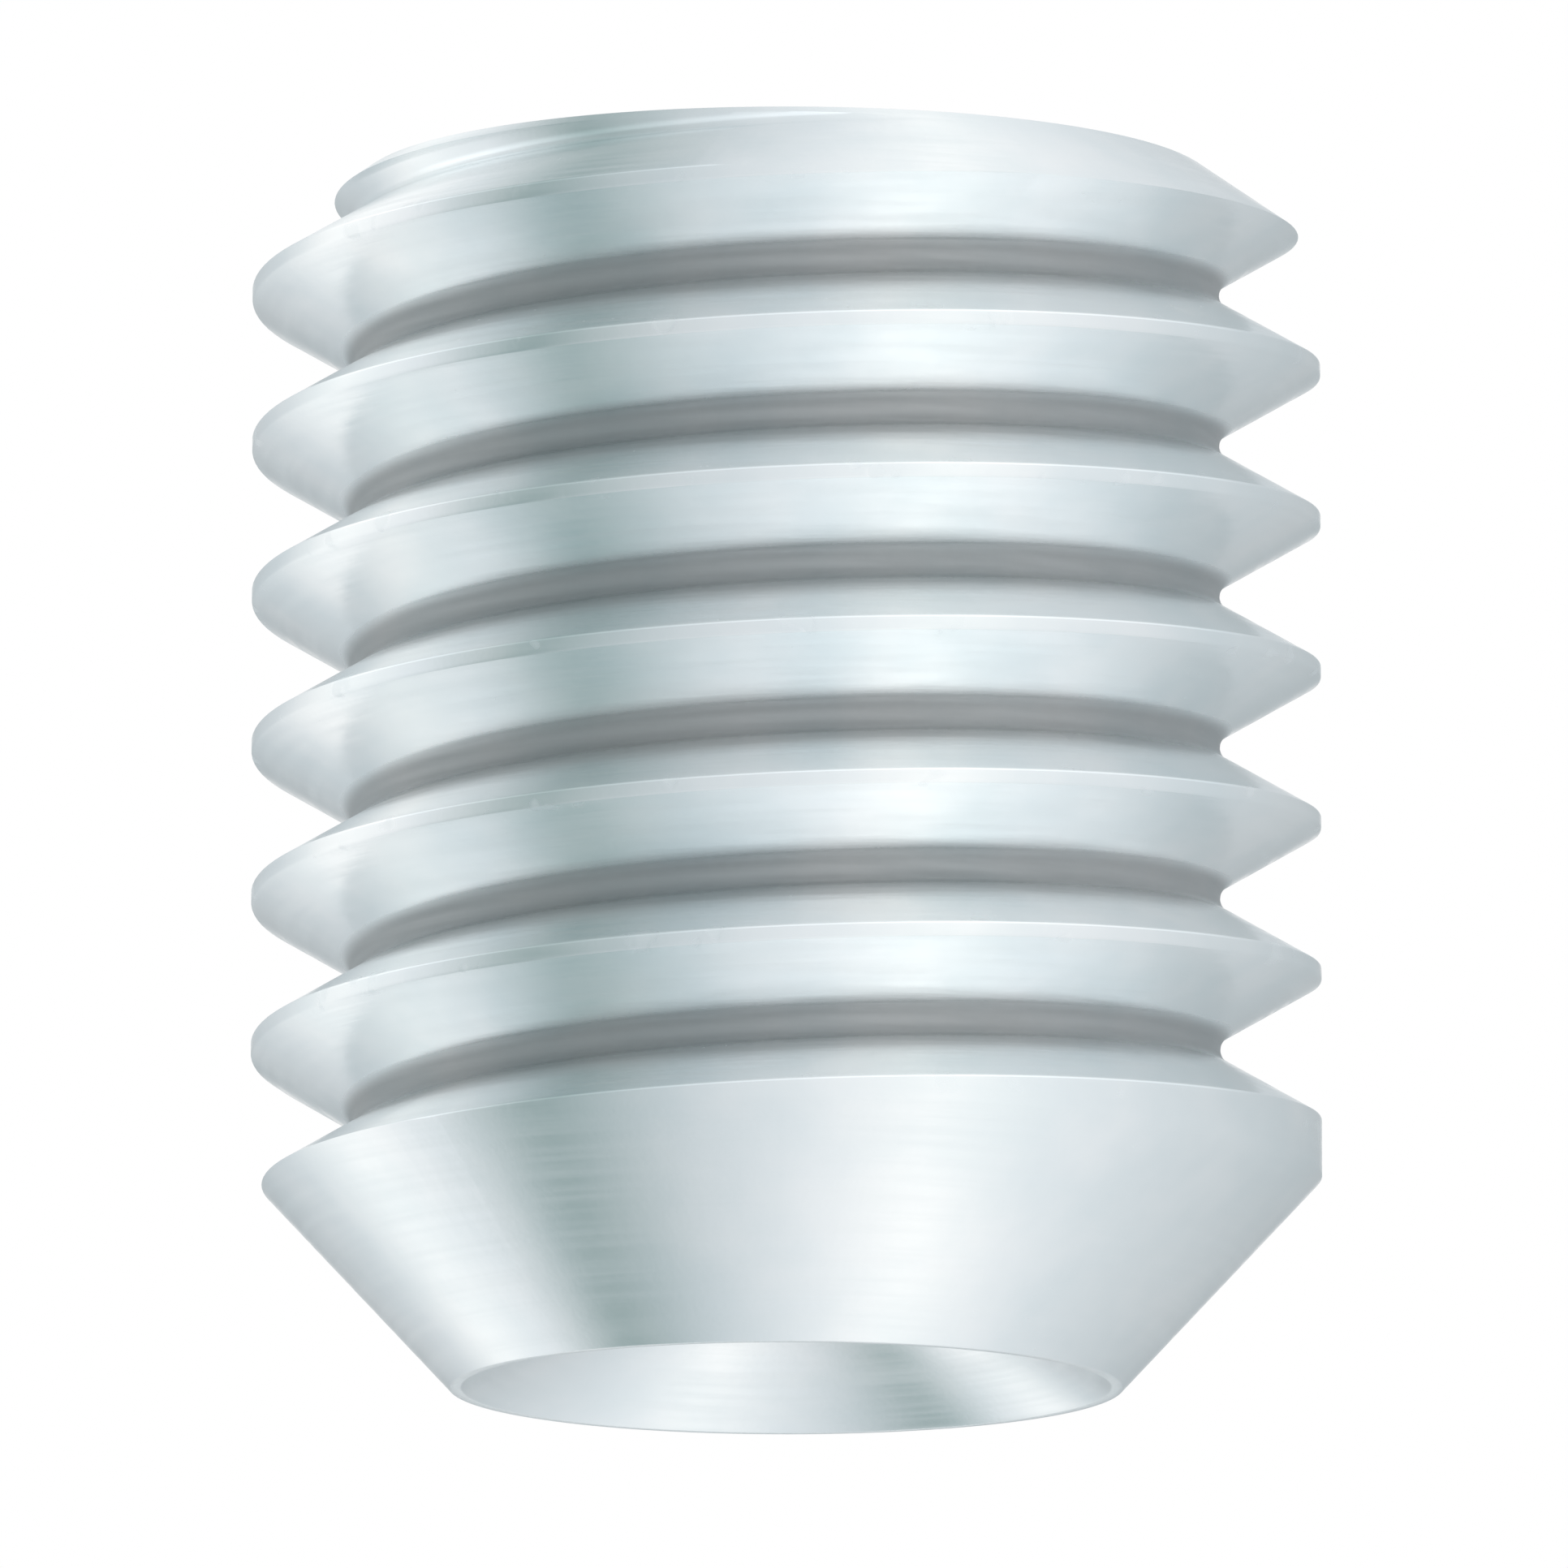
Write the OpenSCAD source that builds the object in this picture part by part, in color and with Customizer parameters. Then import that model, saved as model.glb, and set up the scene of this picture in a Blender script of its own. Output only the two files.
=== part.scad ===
// Grub screw: a headless set screw with a hexagon socket and a cup point.
// It stands on its point, with the axis along +Z and the origin at the middle
// of the rim that it bites with. All sizes are in millimetres and degrees.

/* [Thread] */
// Diameter over the thread crests
thread_d = 14; // [14:0.5:18]
// Rise of the right-hand thread in one turn
pitch = 2; // [1.25:0.25:2.25]
// Height of the last groove's middle above the rim, where it has run out on the +X side
thread_end_z = 2.45; // [2.2:0.05:3.5]
// Part of a turn over which the groove runs out
runout_turns = 0.45; // [0.25:0.05:1]

/* [Body] */
// Length from the socket end to the rim
length = 16; // [15:0.5:25]
// Diameter of the flat face at the socket end
end_face_d = 11.1; // [10.2:0.1:11.5]
// Angle between the flat face at the socket end and its chamfer
end_chamfer_angle = 35; // [25:1:50]

/* [Point] */
// Outer diameter of the rim
point_d = 8.8; // [7.5:0.1:9.5]
// Angle between the outside of the point and the axis
point_angle = 43; // [38:1:46]
// Width of the flat rim
rim_width = 0.16; // [0.1:0.02:0.6]
// Included angle of the cup
cup_angle = 118; // [100:1:130]

/* [Socket] */
// Width of the hexagon across its flats
socket_flats = 6; // [5:0.1:6.4]
// Depth of the hexagon below the end face
socket_depth = 9; // [6:0.5:9.5]
// Diameter of the countersink at the mouth
mouth_d = 7.6; // [7.2:0.1:8.5]
// Included angle of the countersink
mouth_angle = 120; // [90:1:130]
// Included angle of the pilot hole's bottom
pilot_angle = 120; // [110:1:130]

/* [Hidden] */

// A metric thread: how far its flanks lean, and its shape as shares of the pitch
flank_angle = 30;
depth_per_pitch = 0.663;
crest_land_per_pitch = 0.09;
// How finely the thread is stepped round the axis and across its root
steps_per_turn = 60;
root_steps = 4;
// How finely the true curves are drawn
circle_steps = 96;
// How far each cutter reaches past the surface that it opens through
overcut = 0.1;

thread_r = thread_d / 2;
thread_depth = depth_per_pitch * pitch;
point_r = point_d / 2;
point_length = (thread_r - point_r) / tan(point_angle);
end_face_r = end_face_d / 2;
end_chamfer_z = length - (thread_r - end_face_r) * tan(end_chamfer_angle);

// The groove is a V with a round root that both flanks touch
groove_half_width = pitch * (1 - crest_land_per_pitch) / 2;
root_fillet = groove_half_width / tan(flank_angle) - thread_depth;
root_half_turn = 90 - flank_angle;
thread_turns = ceil((length - thread_end_z) / pitch) + 1;

cup_r = point_r - rim_width;
socket_corner_r = socket_flats / 2 / cos(30);
pilot_r = socket_flats / 2;

// The plain body, as its radius at each height where the outline bends
body_outline = [
    [0, point_r],
    [point_length, thread_r],
    [end_chamfer_z, thread_r],
    [length, end_face_r]
];

// Across the groove at full depth, as [height from its middle, depth]
groove_section = concat(
    [[-groove_half_width, 0]],
    [for (step = [0 : root_steps])
        let (turn = root_half_turn * (2 * step / root_steps - 1))
        [root_fillet * sin(turn), thread_depth - root_fillet * (1 - cos(turn))]],
    [[groove_half_width, 0]]
);

// Height of a cone, given its base radius and included angle
function cone_height(radius, angle) = radius / tan(angle / 2);

// The groove's section this many turns up its helix, smaller where it runs out
function groove_at(turns) = let (share = min(1, turns / runout_turns))
    [for (point = groove_section)
        [thread_end_z + pitch * turns + share * point[0], thread_r - share * point[1]]];

// The endless thread on one side of the axis, as its radius at each height
function thread_outline(step) =
    [for (turn = [0 : thread_turns]) if (turn + step > 0)
        each groove_at(turn + step / steps_per_turn)];

// How far the thread lies outside the plain body at a height
function excess(thread, z) = lookup(z, thread) - lookup(z, body_outline);

// Heights at which the thread or the plain body bends, from the rim up
function bends(thread) = concat(
    [for (i = [1 : len(body_outline) - 1])
        let (low = body_outline[i - 1][0], high = body_outline[i][0])
        each concat([low], [for (point = thread) if (point[0] > low && point[0] < high) point[0]])],
    [length]
);

// Heights between those, where the thread comes out through the plain body
function crossings(thread, heights) = [for (i = [1 : len(heights) - 1])
    let (
        low = heights[i - 1],
        high = heights[i],
        here = excess(thread, low),
        ahead = excess(thread, high)
    )
    each here * ahead < 0 ? [low, low + (high - low) * here / (here - ahead)] : [low]];

// The threaded body on one side of the axis, as [radius, height] points
function column(step) = let (
    thread = thread_outline(step),
    heights = concat(crossings(thread, bends(thread)), [length])
) [for (z = heights) [min(lookup(z, thread), lookup(z, body_outline)), z]];

// Whether the next triangle between two columns climbs the left one
function climbs_left(left, right, i, j) =
    j == len(right) - 1 || (i < len(left) - 1 && left[i + 1][1] <= right[j + 1][1]);

// Triangles between two columns whose points start at these places in the list
function wall(left, right, left_start, right_start) =
    [for (
        i = 0, j = 0;
        i < len(left) - 1 || j < len(right) - 1;
        up = climbs_left(left, right, i, j),
        i = up ? i + 1 : i,
        j = up ? j : j + 1
    )
        climbs_left(left, right, i, j)
            ? [left_start + i, left_start + i + 1, right_start + j]
            : [left_start + i, right_start + j + 1, right_start + j]];

// The body with its thread: columns of the outline, joined round the axis
module threaded_body() {
    columns = [for (step = [0 : steps_per_turn - 1]) column(step)];
    starts = [for (
        step = 0, start = 0;
        step <= steps_per_turn;
        start = step < steps_per_turn ? start + len(columns[step]) : start,
        step = step + 1
    ) start];
    points = [for (step = [0 : steps_per_turn - 1])
        let (angle = 360 * step / steps_per_turn)
        for (point = columns[step])
            [point[0] * cos(angle), point[0] * sin(angle), point[1]]];
    walls = [for (step = [0 : steps_per_turn - 1])
        let (next = (step + 1) % steps_per_turn)
        each wall(columns[step], columns[next], starts[step], starts[next])];
    rim_face = [for (step = [0 : steps_per_turn - 1]) starts[step]];
    end_face = [for (step = [steps_per_turn - 1 : -1 : 0]) starts[step + 1] - 1];
    polyhedron(points, concat([rim_face], walls, [end_face]));
}

// The cup in the point, which leaves the rim standing
module cup() {
    rotate_extrude($fn = circle_steps)
        polygon([
            [0, -overcut],
            [cup_r, -overcut],
            [cup_r, 0],
            [0, cone_height(cup_r, cup_angle)]
        ]);
}

// The hexagon socket, with its countersunk mouth and the bottom of its pilot hole
module socket() {
    floor_z = length - socket_depth;
    pilot_height = cone_height(pilot_r, pilot_angle);
    mouth_height = cone_height(mouth_d / 2, mouth_angle);
    translate([0, 0, floor_z])
        cylinder(r = socket_corner_r, h = socket_depth + overcut, $fn = 6);
    translate([0, 0, floor_z - pilot_height])
        cylinder(r1 = 0, r2 = pilot_r, h = pilot_height, $fn = circle_steps);
    translate([0, 0, length - mouth_height])
        cylinder(r1 = 0, r2 = mouth_d / 2, h = mouth_height, $fn = circle_steps);
}

module set_screw() {
    color([0.80, 0.83, 0.84])
        difference() {
            threaded_body();
            cup();
            socket();
        }
}

set_screw();
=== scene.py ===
"""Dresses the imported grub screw: its one steel body again with finer curves and
softened edges, a bright zinc finish, soft studio light, and a camera that looks
up at the cup point."""

import math

import bmesh
import bpy
from mathutils import Matrix, Vector


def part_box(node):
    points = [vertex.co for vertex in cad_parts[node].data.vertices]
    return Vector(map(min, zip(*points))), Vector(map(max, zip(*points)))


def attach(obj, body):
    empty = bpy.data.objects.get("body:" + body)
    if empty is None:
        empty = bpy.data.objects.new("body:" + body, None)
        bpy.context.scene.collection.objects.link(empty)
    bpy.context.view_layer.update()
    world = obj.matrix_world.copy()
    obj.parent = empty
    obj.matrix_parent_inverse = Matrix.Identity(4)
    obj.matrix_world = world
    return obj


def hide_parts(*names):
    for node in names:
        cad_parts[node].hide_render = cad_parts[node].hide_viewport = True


MM = 0.001

# Thread
PITCH = 2.0 * MM
THREAD_DEPTH = 0.663 * PITCH
CREST_LAND = 0.09 * PITCH
CREST_ROUNDING = 0.05 * MM
FLANK_ANGLE = math.radians(30)
THREAD_END_Z = 2.45 * MM
RUNOUT_TURNS = 0.45
STEPS_PER_TURN = 144
SPARE_TURNS = 1.5
CREST_LINE_TOLERANCE = 0.001

# Turned body
END_FACE_R = 5.55 * MM
END_CHAMFER_ANGLE = math.radians(35)
POINT_R = 4.4 * MM
POINT_ANGLE = math.radians(43)
RIM_WIDTH = 0.16 * MM
CUP_ANGLE = math.radians(118)
CREST_CLEARANCE = 0.3 * MM
EDGE_ROUNDING = 0.12 * MM
RIM_ROUNDING = 0.04 * MM

# Socket
SOCKET_FLATS = 6.0 * MM
SOCKET_CORNER_R = SOCKET_FLATS / 2 / math.cos(math.pi / 6)
SOCKET_DEPTH = 9.0 * MM
SOCKET_CORNER_ROUNDING = 0.2 * MM
SOCKET_CORNER_SEGMENTS = 3
MOUTH_R = 3.8 * MM
MOUTH_ANGLE = math.radians(120)
PILOT_ANGLE = math.radians(120)
PILOT_CLEARANCE = 0.02 * MM
OVERCUT = 0.2 * MM

# How finely the arcs are stepped, and the angle from which an edge stays a crease
ARC_STEP = math.radians(12.5)
SHARP_ANGLE = math.radians(15)
MERGE_DISTANCE = 0.001 * MM

# The photograph's frame: its width at the screw, and what lies in its middle
FRAME_WIDTH = 20.52 * MM
FRAME_MIDDLE = Vector((-0.03, 0, 7.98)) * MM
CAMERA_ELEVATION = math.radians(-9)
VIEW_DIRECTION = Vector((0, math.cos(CAMERA_ELEVATION), -math.sin(CAMERA_ELEVATION)))
CAMERA_LENS = 800
SENSOR_WIDTH = 36

# Zinc finish: how closely the tool marks lie and how slowly they change along their run
MARK_SCALE = 6 / MM
MARK_DETAIL = 3
MARK_DRIFT = 0.06
GRAIN_SCALE = 12 / MM
GRAIN_DETAIL = 4
MOTTLE_SCALE = 0.5 / MM
MOTTLE_DETAIL = 3
NOISE_RANGE = (0.3, 0.7)
ZINC_TINTS = [
    (0.35, (0.86, 0.90, 0.91)),
    (0.65, (0.91, 0.92, 0.92)),
]
MOTTLE_DIP = 0.96
ROUGHNESS = (0.15, 0.24)
GRAIN_ROUGHNESS = 0.05
MARK_HEIGHT = 0.0025 * MM
GRAIN_HEIGHT = 0.3

# The thread's roots get painted shade, a darker base colour, and a rougher skin than its flanks, between
# its lower and upper ends
ROOT_R = 5.68 * MM
FLANK_R = 5.87 * MM
ROOT_PAINTED_SHADE_BRIGHTNESS = 0.5
ROOT_ROUGHNESS = 0.35
THREAD_LOW = (2.7 * MM, 3.3 * MM)
THREAD_HIGH = (15.1 * MM, 14.5 * MM)

# Handling leaves small nicks on the crests, on a small share of the noise that places them
CREST_R = (6.85 * MM, 6.97 * MM)
NICK_SCALE = 1.6 / MM
NICK_DETAIL = 2
NICK_SHARE = (0.6, 0.68)
NICK_ROUGHNESS = 0.12
NICK_DEPTH = 0.6

# Studio cards and softboxes, laid out by the side of a round bar that shows them,
# in degrees from the middle of the bar as the camera sees it
EDGE_CARD = (0.47, 0.51, 0.53)
GREY_CARD = (0.68, 0.73, 0.76)
PALE_CARD = (0.87, 0.91, 0.94)
TEAL_CARD = (0.30, 0.39, 0.39)
SOFTBOX = (1.10, 1.12, 1.12)
LIGHT_BANDS = [
    (-90, EDGE_CARD),
    (-70, GREY_CARD),
    (-56, SOFTBOX),
    (-43, PALE_CARD),
    (-28, TEAL_CARD),
    (-11, GREY_CARD),
    (4, PALE_CARD),
    (17, SOFTBOX),
    (32, PALE_CARD),
    (52, GREY_CARD),
    (90, EDGE_CARD),
]
# A little more light from the front where it reaches the lower flanks by way of the upper ones
RISE_START = (0.05, 0.3)
RISE_END = (0.48, 0.39)
FRONT_END = (0.6, 0.3)
RISE_BOOST = 0.28
# White wherever the camera sees past the screw, and mirrored in it from straight behind
BACKDROP = (1.0, 1.0, 1.0)
BACKDROP_REACH = (0.10, 0.18)
FLOOR_COLOUR = (0.9, 0.9, 0.9)
FLOOR_ROUGHNESS = 0.8
FLOOR_SIZE = 1000 * MM
FLOOR_FADE = (100 * MM, 450 * MM)


def rounded(corners):
    """A profile of [x, z] points from [x, z, rounding] corners."""
    points = []
    for i, (x, z, rounding) in enumerate(corners):
        corner = Vector((x, z))
        if rounding == 0:
            points.append(corner)
            continue
        back = (Vector(corners[i - 1][:2]) - corner).normalized()
        ahead = (Vector(corners[i + 1][:2]) - corner).normalized()
        half = back.angle(ahead) / 2
        centre = corner + (back + ahead).normalized() * rounding / math.sin(half)
        start = corner + back * rounding / math.tan(half) - centre
        turn = (ahead - back).cross(corner - centre)
        sweep = math.copysign(math.pi - 2 * half, -turn)
        steps = math.ceil(abs(sweep) / ARC_STEP)
        for step in range(steps + 1):
            points.append(centre + Matrix.Rotation(sweep * step / steps, 2) @ start)
    return points


def draw_profile(bm, points):
    """A line of edges in the XZ plane, ready to be spun round the Z axis."""
    verts = [bm.verts.new((point.x, 0, point.y)) for point in points]
    edges = [bm.edges.new(pair) for pair in zip(verts, verts[1:])]
    return verts + edges


def object_of(bm, name):
    """A new object that takes over this bmesh, its faces turned outwards."""
    bmesh.ops.recalc_face_normals(bm, faces=bm.faces)
    mesh = bpy.data.meshes.new(name)
    bm.to_mesh(mesh)
    bm.free()
    obj = bpy.data.objects.new(name, mesh)
    bpy.context.collection.objects.link(obj)
    return obj


def run_out(bm, thread_r):
    """Shrinks the groove towards the crest line where the thread ends at the point."""
    for vert in bm.verts:
        turned = math.atan2(vert.co.y, vert.co.x) / math.tau
        height = (vert.co.z - THREAD_END_Z) / PITCH - turned
        turn = math.floor(height + 0.5)
        share = min(1, max(0, (turn + turned) / RUNOUT_TURNS))
        beside = height - turn
        on_crest_line = abs(abs(beside) - 0.5) < CREST_LINE_TOLERANCE
        if share == 1 or on_crest_line:
            continue
        radius = math.hypot(vert.co.x, vert.co.y)
        new_radius = thread_r - share * (thread_r - radius)
        vert.co.x *= new_radius / radius
        vert.co.y *= new_radius / radius
        vert.co.z -= (1 - share) * beside * PITCH


def endless_thread(thread_r, length):
    """A threaded rod that reaches past both ends of the screw."""
    half_width = (PITCH - CREST_LAND) / 2
    groove_depth = half_width / math.tan(FLANK_ANGLE)
    section = rounded([
        (thread_r, -PITCH / 2, 0),
        (thread_r, -half_width, CREST_ROUNDING),
        (thread_r - groove_depth, 0, groove_depth - THREAD_DEPTH),
        (thread_r, half_width, CREST_ROUNDING),
        (thread_r, PITCH / 2, 0),
    ])
    turns = math.ceil(length / PITCH + 2 * SPARE_TURNS)
    first_turn = -math.ceil(THREAD_END_Z / PITCH + SPARE_TURNS)
    start_z = THREAD_END_Z + first_turn * PITCH
    bm = bmesh.new()
    bmesh.ops.spin(
        bm,
        geom=draw_profile(bm, [point + Vector((0, start_z)) for point in section]),
        cent=(0, 0, 0),
        axis=(0, 0, 1),
        dvec=(0, 0, PITCH / STEPS_PER_TURN),
        angle=math.tau * turns,
        steps=STEPS_PER_TURN * turns,
    )
    bmesh.ops.remove_doubles(bm, verts=bm.verts, dist=MERGE_DISTANCE)
    run_out(bm, thread_r)
    bmesh.ops.remove_doubles(bm, verts=bm.verts, dist=MERGE_DISTANCE)
    for end_z in (start_z, start_z + turns * PITCH):
        middle = bm.verts.new((0, 0, end_z))
        for edge in [edge for edge in bm.edges if edge.is_boundary]:
            near = sum(vert.co.z for vert in edge.verts) / 2
            if abs(near - end_z) <= PITCH:
                bm.faces.new((*edge.verts, middle))
    return object_of(bm, "threaded_rod")


def turned_envelope(thread_r, length):
    """What the lathe leaves: the cup, rim, point, end chamfer, end face and countersink."""
    outer_r = thread_r + CREST_CLEARANCE
    cup_r = POINT_R - RIM_WIDTH
    countersink_floor_r = SOCKET_FLATS / 2 - EDGE_ROUNDING
    countersink_floor_z = length - (MOUTH_R - countersink_floor_r) / math.tan(MOUTH_ANGLE / 2)
    profile = rounded([
        (0, cup_r / math.tan(CUP_ANGLE / 2), 0),
        (cup_r, 0, RIM_ROUNDING),
        (POINT_R, 0, RIM_ROUNDING),
        (outer_r, (outer_r - POINT_R) / math.tan(POINT_ANGLE), 0),
        (outer_r, length - (outer_r - END_FACE_R) * math.tan(END_CHAMFER_ANGLE), 0),
        (END_FACE_R, length, EDGE_ROUNDING),
        (MOUTH_R, length, EDGE_ROUNDING),
        (countersink_floor_r, countersink_floor_z, 0),
        (0, countersink_floor_z, 0),
    ])
    bm = bmesh.new()
    bmesh.ops.spin(
        bm,
        geom=draw_profile(bm, profile),
        cent=(0, 0, 0),
        axis=(0, 0, 1),
        angle=math.tau,
        steps=STEPS_PER_TURN,
        use_merge=True,
    )
    bmesh.ops.remove_doubles(bm, verts=bm.verts, dist=MERGE_DISTANCE)
    return object_of(bm, "turned_envelope")


def hexagon_cutter(length):
    """A hexagonal bar with rounded corners, which reaches out through the end face."""
    depth = SOCKET_DEPTH + OVERCUT
    corner_on_x = Matrix.Rotation(math.pi / 6, 4, "Z")
    bm = bmesh.new()
    bmesh.ops.create_cone(
        bm,
        cap_ends=True,
        segments=6,
        radius1=SOCKET_CORNER_R,
        radius2=SOCKET_CORNER_R,
        depth=depth,
        matrix=Matrix.Translation((0, 0, length - SOCKET_DEPTH + depth / 2)) @ corner_on_x,
    )
    upright = [edge for edge in bm.edges if abs(edge.verts[0].co.z - edge.verts[1].co.z) > depth / 2]
    bmesh.ops.bevel(
        bm,
        geom=upright,
        offset=SOCKET_CORNER_ROUNDING,
        segments=SOCKET_CORNER_SEGMENTS,
        profile=0.5,
        affect="EDGES",
        material=-1,
    )
    return object_of(bm, "hexagon_cutter")


def pilot_cutter(length):
    """The cone that the pilot drill leaves below the hexagon, with a short neck up into it."""
    pilot_r = SOCKET_FLATS / 2 - PILOT_CLEARANCE
    depth = pilot_r / math.tan(PILOT_ANGLE / 2)
    bm = bmesh.new()
    bmesh.ops.create_cone(
        bm,
        cap_ends=True,
        segments=STEPS_PER_TURN // 2,
        radius1=0,
        radius2=pilot_r,
        depth=depth,
        matrix=Matrix.Translation((0, 0, length - SOCKET_DEPTH - depth / 2)),
    )
    top = max(bm.faces, key=lambda face: face.calc_center_median().z)
    lifted = bmesh.ops.extrude_discrete_faces(bm, faces=[top])["faces"]
    bmesh.ops.translate(bm, verts=lifted[0].verts, vec=(0, 0, OVERCUT))
    bmesh.ops.remove_doubles(bm, verts=bm.verts, dist=MERGE_DISTANCE)
    return object_of(bm, "pilot_cutter")


def cut(body, tool, operation):
    """Adds one exact cut to the body, still to be applied."""
    modifier = body.modifiers.new(tool.name, "BOOLEAN")
    modifier.operation = operation
    modifier.object = tool
    modifier.solver = "EXACT"


def soften(bm):
    """Smooth faces, with a crease along every sharp edge."""
    for face in bm.faces:
        face.smooth = True
    for edge in bm.edges:
        edge.smooth = edge.is_manifold and edge.calc_face_angle() < SHARP_ANGLE


def grub_screw(node):
    """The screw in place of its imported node, as large as that node is."""
    low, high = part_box(node)
    thread_r = (high[0] - low[0]) / 2
    length = high[2] - low[2]
    body = endless_thread(thread_r, length)
    tools = [
        (turned_envelope(thread_r, length), "INTERSECT"),
        (hexagon_cutter(length), "DIFFERENCE"),
        (pilot_cutter(length), "DIFFERENCE"),
    ]
    for tool, operation in tools:
        cut(body, tool, operation)
    cut_body = body.evaluated_get(bpy.context.evaluated_depsgraph_get())
    bm = bmesh.new()
    bm.from_mesh(cut_body.to_mesh())
    for obj in [body] + [tool for tool, _ in tools]:
        bpy.data.objects.remove(obj)
    bmesh.ops.remove_doubles(bm, verts=bm.verts, dist=MERGE_DISTANCE)
    bmesh.ops.dissolve_degenerate(bm, edges=bm.edges, dist=MERGE_DISTANCE)
    soften(bm)
    screw = object_of(bm, "grub_screw")
    screw.data.materials.append(zinc_plated_steel(length - SOCKET_DEPTH))
    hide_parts(node)
    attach(screw, "root")


class Nodes:
    """Adds nodes to a tree and links them by the names or places of their sockets."""

    # The two values and the result of a Mix node, for each kind of data
    MIX_SOCKETS = {"FLOAT": (2, 3, 0), "VECTOR": (4, 5, 1), "RGBA": (6, 7, 2)}

    def __init__(self, tree):
        self.tree = tree

    def add(self, kind, inputs=None, **settings):
        node = self.tree.nodes.new(kind)
        for name, value in settings.items():
            setattr(node, name, value)
        for name, value in (inputs or {}).items():
            if isinstance(value, bpy.types.NodeSocket):
                self.tree.links.new(value, node.inputs[name])
            else:
                node.inputs[name].default_value = value
        return node

    def math(self, operation, *values):
        return self.add("ShaderNodeMath", dict(enumerate(values)), operation=operation).outputs[0]

    def vector(self, operation, *values):
        return self.add("ShaderNodeVectorMath", dict(enumerate(values)), operation=operation).outputs[0]

    def length(self, vector):
        return self.add("ShaderNodeVectorMath", {0: vector}, operation="LENGTH").outputs["Value"]

    def scaled(self, vector, amount):
        return self.add("ShaderNodeVectorMath", {0: vector, "Scale": amount}, operation="SCALE").outputs[0]

    def combine(self, *values):
        return self.add("ShaderNodeCombineXYZ", dict(enumerate(values))).outputs[0]

    def separate(self, vector):
        return self.add("ShaderNodeSeparateXYZ", {"Vector": vector}).outputs

    def mix(self, share, first, second, kind="FLOAT"):
        a, b, result = self.MIX_SOCKETS[kind]
        return self.add("ShaderNodeMix", {0: share, a: first, b: second}, data_type=kind).outputs[result]

    def ramp(self, value, stops):
        node = self.add("ShaderNodeValToRGB", {"Fac": value})
        elements = node.color_ramp.elements
        while len(elements) < len(stops):
            elements.new(0.5)
        for element, (place, colour) in zip(elements, stops):
            element.position = place
            element.color = (*colour, 1)
        return node.outputs["Color"]

    def spread(self, value, low, high, new_low=0.0, new_high=1.0):
        inputs = {"Value": value, "From Min": low, "From Max": high, "To Min": new_low, "To Max": new_high}
        return self.add("ShaderNodeMapRange", inputs, interpolation_type="SMOOTHSTEP").outputs["Result"]

    def noise(self, vector, scale, detail):
        inputs = {"Vector": vector, "Scale": scale, "Detail": detail}
        return self.add("ShaderNodeTexNoise", inputs).outputs["Fac"]


def zinc_plated_steel(socket_floor_z):
    """Bright zinc over steel: tool marks ring the screw and run down its socket, the thread's
    roots are rougher and darkened with painted shade, and its crests are nicked."""
    material = bpy.data.materials.new("zinc_plated_steel")
    material.use_nodes = True
    nodes = Nodes(material.node_tree)
    shader = material.node_tree.nodes["Principled BSDF"]
    place = nodes.add("ShaderNodeTexCoord").outputs["Object"]
    x, y, z = nodes.separate(place)
    radius = nodes.length(nodes.combine(x, y, 0))

    rings = nodes.combine(radius, z, nodes.math("MULTIPLY", nodes.math("ADD", x, y), MARK_DRIFT))
    broaching = nodes.combine(x, y, nodes.math("MULTIPLY", z, MARK_DRIFT))
    in_socket = nodes.math(
        "MULTIPLY",
        nodes.math("LESS_THAN", radius, SOCKET_CORNER_R),
        nodes.math("GREATER_THAN", z, socket_floor_z),
    )
    marks = nodes.noise(nodes.mix(in_socket, rings, broaching, "VECTOR"), MARK_SCALE, MARK_DETAIL)
    grain = nodes.noise(place, GRAIN_SCALE, GRAIN_DETAIL)
    mottle = nodes.noise(place, MOTTLE_SCALE, MOTTLE_DETAIL)

    on_thread = nodes.math("MULTIPLY", nodes.spread(z, *THREAD_LOW), nodes.spread(z, *THREAD_HIGH))
    outside = nodes.math("GREATER_THAN", radius, POINT_R)
    skin = nodes.math("MULTIPLY", on_thread, outside)
    root_shade_and_roughness = nodes.math("MULTIPLY", skin, nodes.spread(radius, ROOT_R, FLANK_R, 1, 0))
    on_crest = nodes.math("MULTIPLY", skin, nodes.spread(radius, *CREST_R))
    nick_places = nodes.noise(place, NICK_SCALE, NICK_DETAIL)
    nicks = nodes.math("MULTIPLY", on_crest, nodes.spread(nick_places, *NICK_SHARE))

    tint = nodes.ramp(mottle, ZINC_TINTS)
    mottling = nodes.spread(mottle, *NOISE_RANGE, MOTTLE_DIP, 1)
    # Painted shade: the roots' base colour is darkened to stand in for the shade deep in the grooves
    painted_root_shade = nodes.mix(root_shade_and_roughness, 1.0, ROOT_PAINTED_SHADE_BRIGHTNESS)
    colour = nodes.scaled(tint, nodes.math("MULTIPLY", mottling, painted_root_shade))
    nodes.tree.links.new(colour, shader.inputs["Base Color"])

    rough = nodes.spread(marks, *NOISE_RANGE, *ROUGHNESS)
    for share, amount in ((grain, GRAIN_ROUGHNESS), (root_shade_and_roughness, ROOT_ROUGHNESS), (nicks, NICK_ROUGHNESS)):
        rough = nodes.math("MULTIPLY_ADD", share, amount, rough)
    nodes.tree.links.new(rough, shader.inputs["Roughness"])

    relief = nodes.math("MULTIPLY_ADD", grain, GRAIN_HEIGHT, marks)
    relief = nodes.math("MULTIPLY_ADD", nicks, -NICK_DEPTH, relief)
    bump = nodes.add("ShaderNodeBump", {"Strength": 1, "Distance": MARK_HEIGHT, "Height": relief})
    nodes.tree.links.new(bump.outputs["Normal"], shader.inputs["Normal"])
    shader.inputs["Metallic"].default_value = 1
    return material


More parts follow.
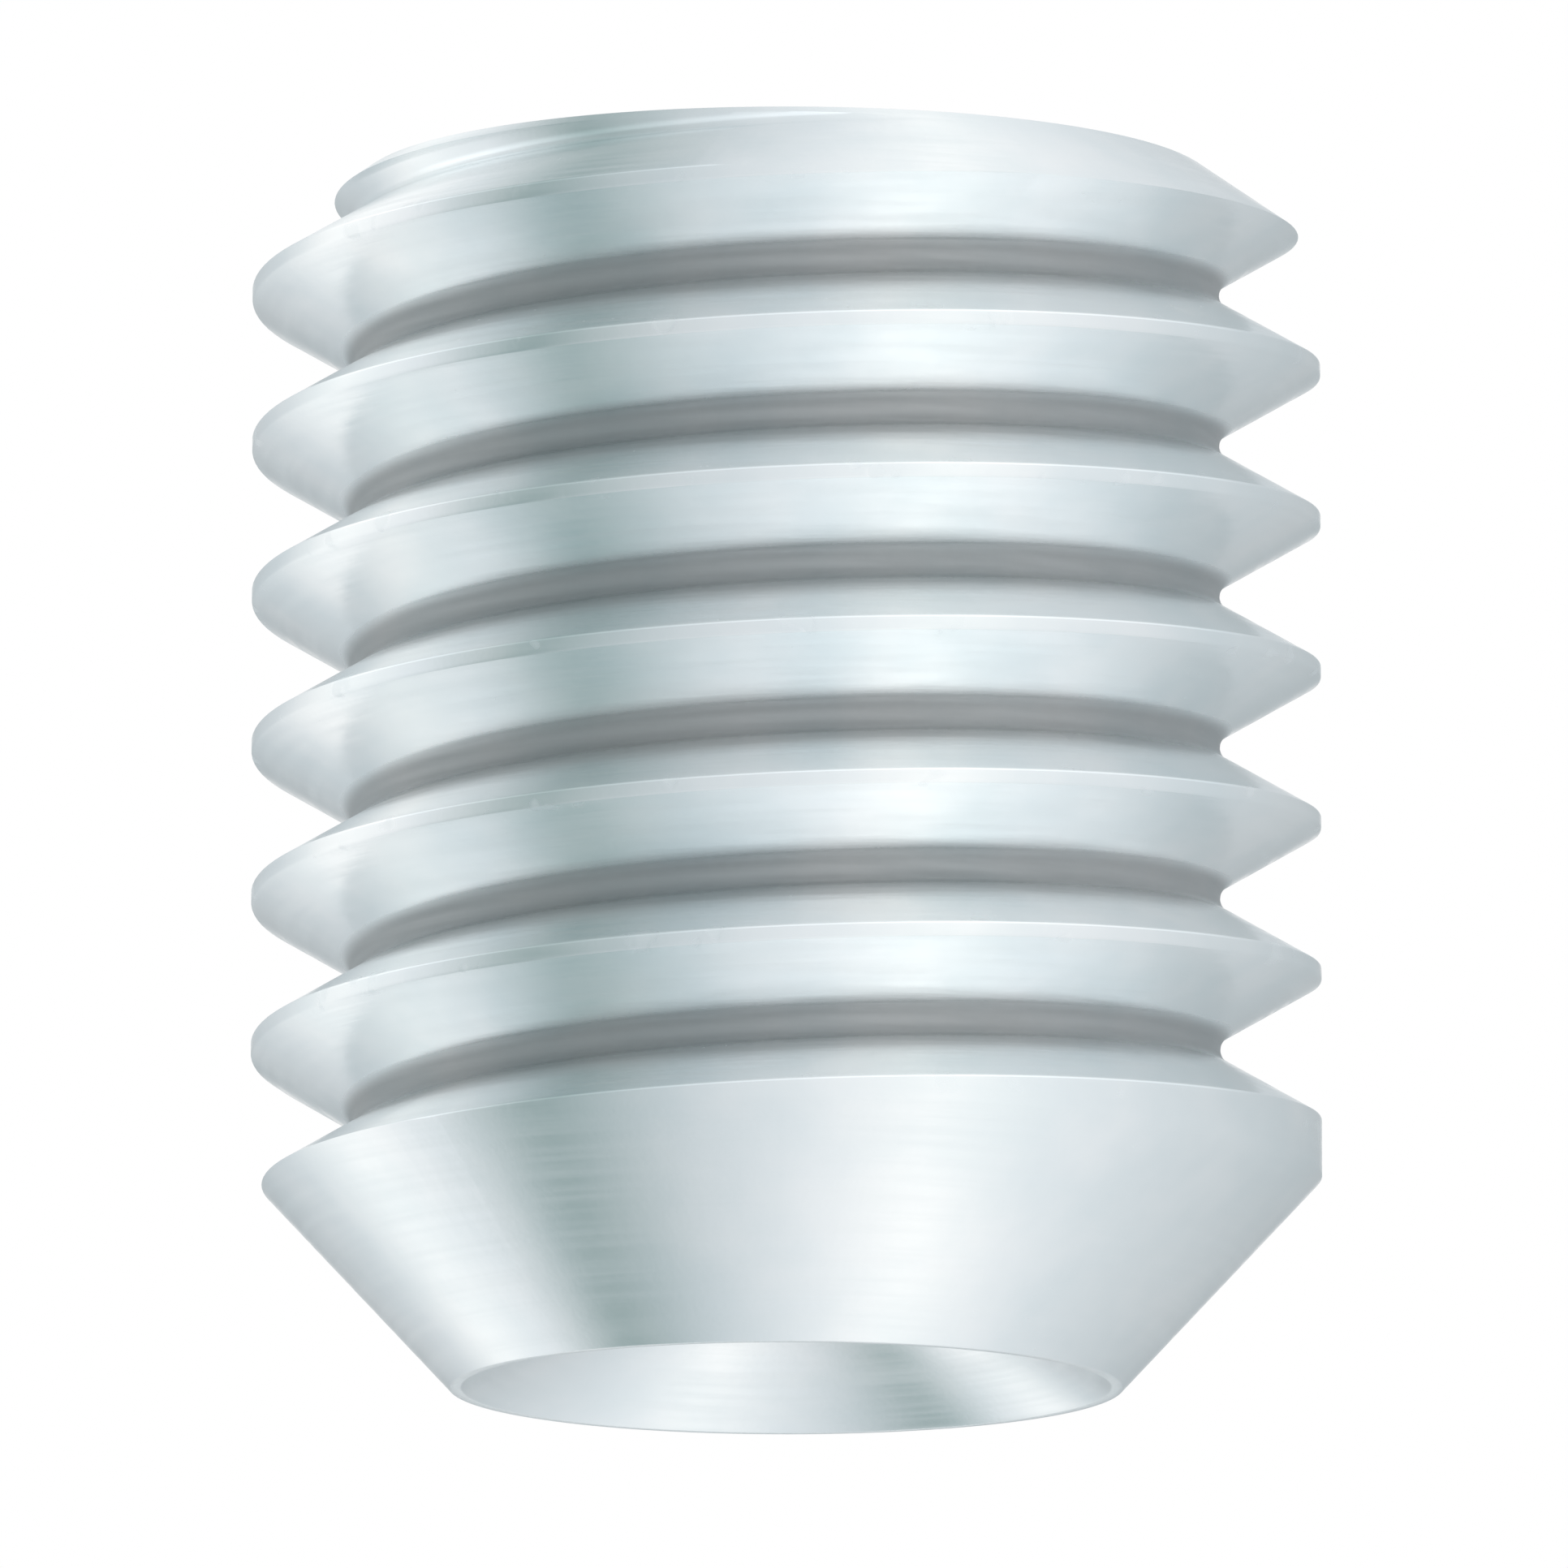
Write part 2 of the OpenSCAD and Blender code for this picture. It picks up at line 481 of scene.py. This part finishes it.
def studio_world():
    """Soft upright bands of light round the screw, with a white backdrop behind it.

    A round bar shows each band on one side of itself, whatever its slope there. That side is
    the heading of the direction halfway between the camera and the light."""
    world = bpy.data.worlds.new("studio")
    bpy.context.scene.world = world
    world.use_nodes = True
    nodes = Nodes(world.node_tree)
    background = world.node_tree.nodes["Background"]
    direction = nodes.add("ShaderNodeTexCoord").outputs["Generated"]
    halfway = nodes.vector("SUBTRACT", direction, tuple(VIEW_DIRECTION))
    x, y, z = nodes.separate(halfway)
    side = nodes.math("ARCTAN2", x, nodes.math("MULTIPLY", y, -1))
    place = nodes.math("ADD", nodes.math("DIVIDE", side, math.pi), 0.5)
    bands = nodes.ramp(place, [(0.5 + angle / 180, colour) for angle, colour in LIGHT_BANDS])
    rise = nodes.math("DIVIDE", z, nodes.length(halfway))
    rising = nodes.math("MULTIPLY", nodes.spread(rise, *RISE_START), nodes.spread(rise, *RISE_END))
    in_front = nodes.spread(nodes.separate(direction)[1], *FRONT_END)
    into_grooves = nodes.math("MULTIPLY", rising, in_front)
    light = nodes.scaled(bands, nodes.math("MULTIPLY_ADD", into_grooves, RISE_BOOST, 1))

    behind = nodes.spread(nodes.length(halfway), *BACKDROP_REACH, 1, 0)
    path = nodes.add("ShaderNodeLightPath").outputs
    mirrored = nodes.math("MAXIMUM", path["Is Glossy Ray"], path["Is Transmission Ray"])
    seen = nodes.math("MAXIMUM", path["Is Camera Ray"], nodes.math("MULTIPLY", mirrored, behind))
    colour = nodes.mix(seen, light, (*BACKDROP, 1), "RGBA")
    nodes.tree.links.new(colour, background.inputs["Color"])


def floor():
    """A pale floor that only a camera above it sees, and that fades into the backdrop."""
    bm = bmesh.new()
    bmesh.ops.create_grid(bm, x_segments=1, y_segments=1, size=FLOOR_SIZE / 2)
    stage = object_of(bm, "floor")
    material = bpy.data.materials.new("floor")
    material.use_nodes = True
    nodes = Nodes(material.node_tree)
    shader = material.node_tree.nodes["Principled BSDF"]
    shader.inputs["Base Color"].default_value = (*FLOOR_COLOUR, 1)
    shader.inputs["Roughness"].default_value = FLOOR_ROUGHNESS
    below = nodes.add("ShaderNodeNewGeometry").outputs["Backfacing"]
    from_camera = nodes.add("ShaderNodeLightPath").outputs["Is Camera Ray"]
    seen = nodes.math("MULTIPLY", from_camera, nodes.math("SUBTRACT", 1, below))
    place = nodes.add("ShaderNodeTexCoord").outputs["Object"]
    near = nodes.spread(nodes.length(place), *FLOOR_FADE, 1, 0)
    clear = nodes.add("ShaderNodeBsdfTransparent").outputs[0]
    shares = {0: nodes.math("MULTIPLY", seen, near), 1: clear, 2: shader.outputs[0]}
    surface = nodes.add("ShaderNodeMixShader", shares).outputs[0]
    nodes.tree.links.new(surface, material.node_tree.nodes["Material Output"].inputs["Surface"])
    stage.data.materials.append(material)


def studio_camera():
    """A distant camera below the screw, at the photograph's viewing angle."""
    camera = bpy.data.objects.new("camera", bpy.data.cameras.new("camera"))
    bpy.context.collection.objects.link(camera)
    camera.data.lens = CAMERA_LENS
    camera.data.sensor_width = SENSOR_WIDTH
    camera.data.clip_start = 1 * MM
    distance = FRAME_WIDTH * CAMERA_LENS / SENSOR_WIDTH
    camera.location = FRAME_MIDDLE - distance * VIEW_DIRECTION
    camera.rotation_euler = VIEW_DIRECTION.to_track_quat("-Z", "Y").to_euler()
    bpy.context.scene.camera = camera


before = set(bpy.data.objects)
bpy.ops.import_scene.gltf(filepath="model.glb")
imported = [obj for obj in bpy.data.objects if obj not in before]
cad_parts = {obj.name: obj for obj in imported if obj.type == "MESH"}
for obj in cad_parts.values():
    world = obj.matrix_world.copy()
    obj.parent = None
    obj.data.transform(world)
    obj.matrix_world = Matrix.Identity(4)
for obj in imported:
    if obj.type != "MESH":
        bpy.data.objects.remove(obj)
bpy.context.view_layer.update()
grub_screw("set_screw")
floor()
studio_world()
studio_camera()
bpy.context.scene.view_settings.view_transform = "Standard"
